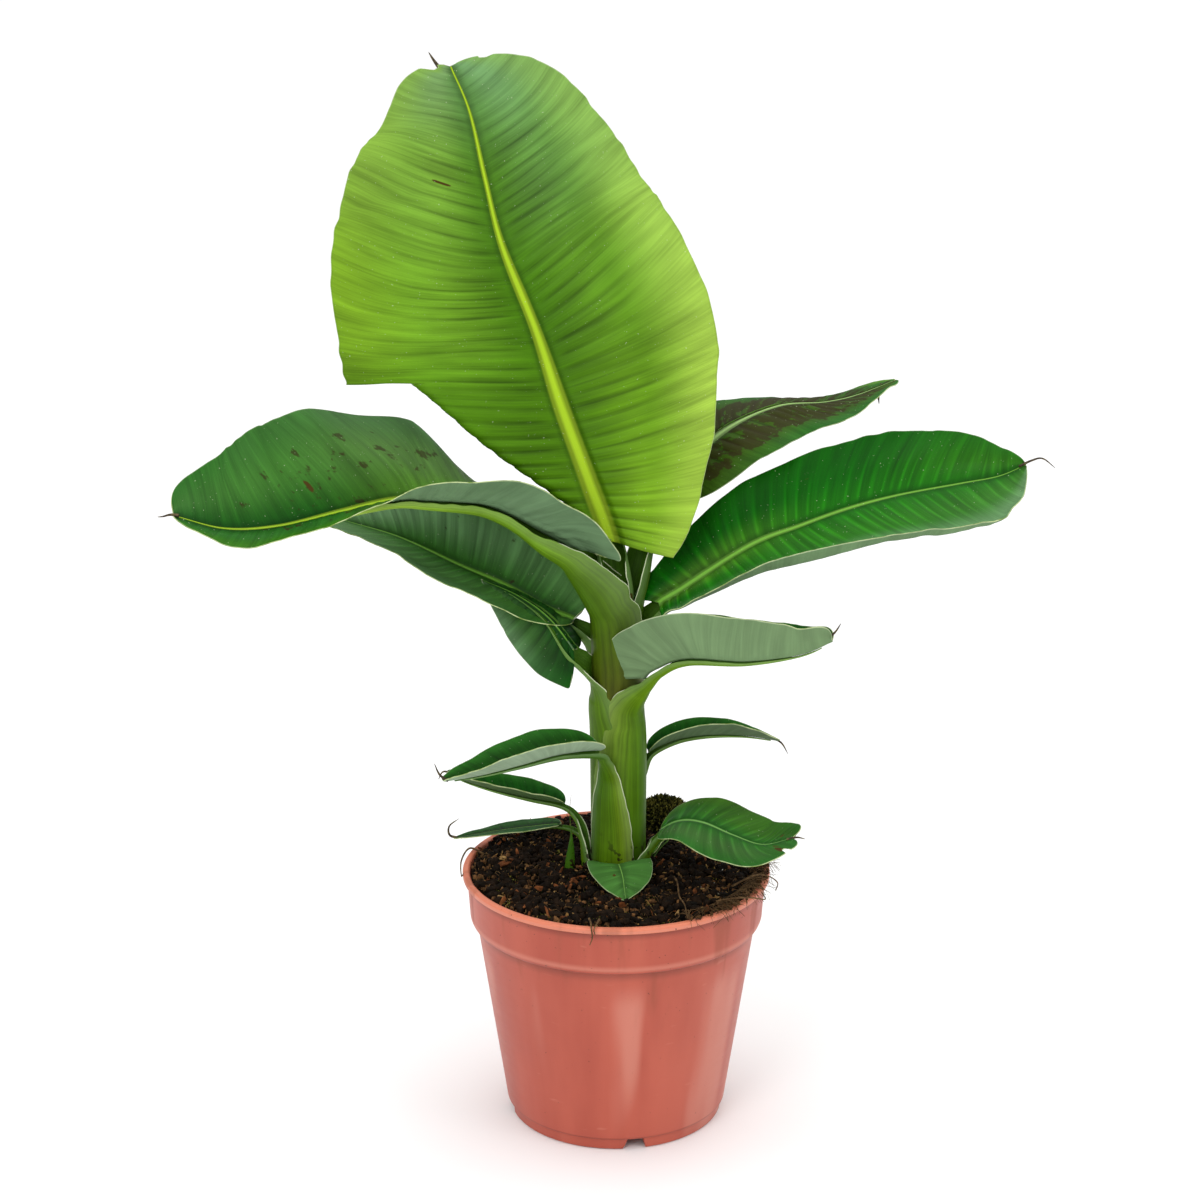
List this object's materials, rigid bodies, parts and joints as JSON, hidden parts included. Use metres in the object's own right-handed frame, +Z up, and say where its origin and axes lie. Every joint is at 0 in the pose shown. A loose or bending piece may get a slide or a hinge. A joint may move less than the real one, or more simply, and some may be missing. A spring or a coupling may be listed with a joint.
{
  "type": "potted banana plant",
  "caption": "Young banana plant with broad arching leaves on a pseudostem, with small suckers at its foot, growing in a round plastic nursery pot.",
  "frame": {"origin": "on the pot's axis, on the ground under the pot", "axes": "+Z up, -Y towards the side that the tall leaf faces, +X towards the side of the long leaf"},
  "size_m": [0.5046, 0.2004, 0.6511],
  "materials": {
    "pot": "satin moulded plastic, terracotta colour",
    "soil": "damp peat with bark, moss bits and perlite",
    "moss": "matte moss",
    "pseudostem": "satin leaf sheaths with pale margins",
    "stalk": "satin leaf stalk and midrib",
    "blade": "semi-gloss dark green leaf with maroon flecks",
    "young_blade": "semi-gloss light green leaf"
  },
  "bodies": {
    "root": {"pot": "pot", "soil": "soil", "moss": "moss", "pseudostem": "pseudostem", "front_leaf_blade": "blade", "front_leaf_stalk": "stalk", "leaf_01_blade": "young_blade", "leaf_01_stalk": "stalk", "leaf_02_blade": "blade", "leaf_02_stalk": "stalk", "leaf_03_blade": "blade", "leaf_03_stalk": "stalk", "leaf_04_blade": "blade", "leaf_04_stalk": "stalk", "leaf_05_blade": "blade", "leaf_05_stalk": "stalk", "leaf_06_blade": "blade", "leaf_06_stalk": "stalk", "leaf_07_blade": "blade", "leaf_07_stalk": "stalk", "leaf_08_blade": "blade", "leaf_08_stalk": "stalk", "leaf_09_blade": "blade", "leaf_09_stalk": "stalk", "sucker_left_leaf_01_blade": "blade", "sucker_left_leaf_01_stalk": "stalk", "sucker_left_leaf_02_blade": "blade", "sucker_left_leaf_02_stalk": "stalk", "sucker_right_leaf_01_blade": "blade", "sucker_right_leaf_01_stalk": "stalk", "sucker_right_leaf_02_blade": "blade", "sucker_right_leaf_02_stalk": "stalk"}
  },
  "joints": []
}
